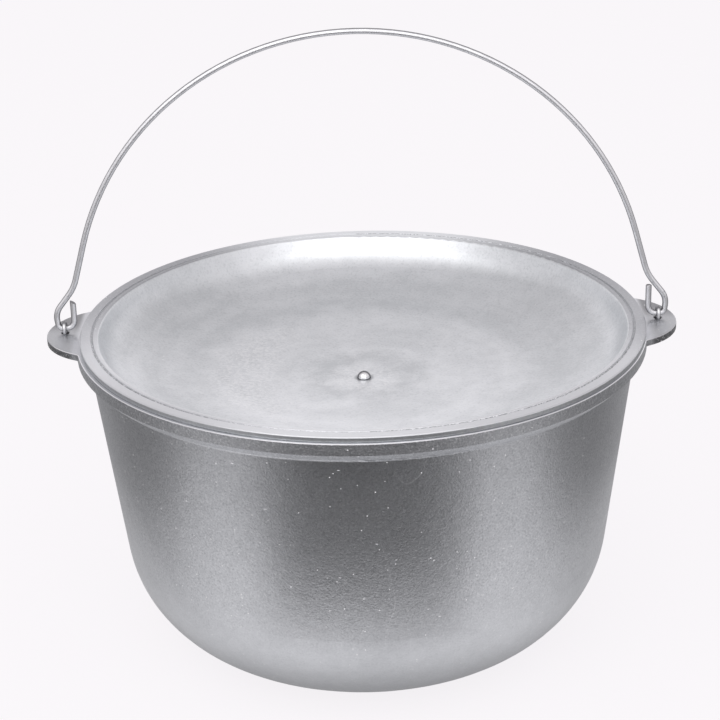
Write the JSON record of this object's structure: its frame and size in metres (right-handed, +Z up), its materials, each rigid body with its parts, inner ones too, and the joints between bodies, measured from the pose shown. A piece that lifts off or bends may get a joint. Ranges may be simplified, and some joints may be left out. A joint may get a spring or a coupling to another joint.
{
  "type": "lidded cast kettle with wire bail",
  "caption": "Cast-aluminium cauldron-shaped kettle with flat ears, a swinging wire bail and a dished lid laid upside down on its rim.",
  "frame": {"origin": "centre of the pot's flat base, on the surface it stands on", "axes": "+Z up; the two ears lie on X, so the bail hinges about X; -Y is the front that the picture looks at"},
  "size_m": [0.4086, 0.368, 0.4084],
  "materials": {
    "pot_casting": "bare cast aluminium, matte satin, fine sand grain",
    "lid_casting": "bare cast aluminium, turned and lightly buffed",
    "wire": "drawn zinc-bright steel wire",
    "knob_metal": "turned aluminium",
    "rivet_metal": "bright polished metal"
  },
  "bodies": {
    "pot": {"kettle_body": "pot_casting", "left_eye": "wire", "right_eye": "wire"},
    "bail": {"bail": "wire"},
    "lid": {"lid": "lid_casting", "lid_knob": "knob_metal", "knob_rivet": "rivet_metal", "rivet_washer": "rivet_metal"}
  },
  "joints": [
    {"name": "bail_swing", "type": "hinge", "parent": "pot", "child": "bail", "pos_m": [0, 0, 0.2159], "axis": [1, 0, 0], "range_deg": [-90, 90]},
    {"name": "lid_lift", "type": "slide", "parent": "pot", "child": "lid", "axis": [0, 0, 1], "range_m": [0, 0.015]}
  ]
}
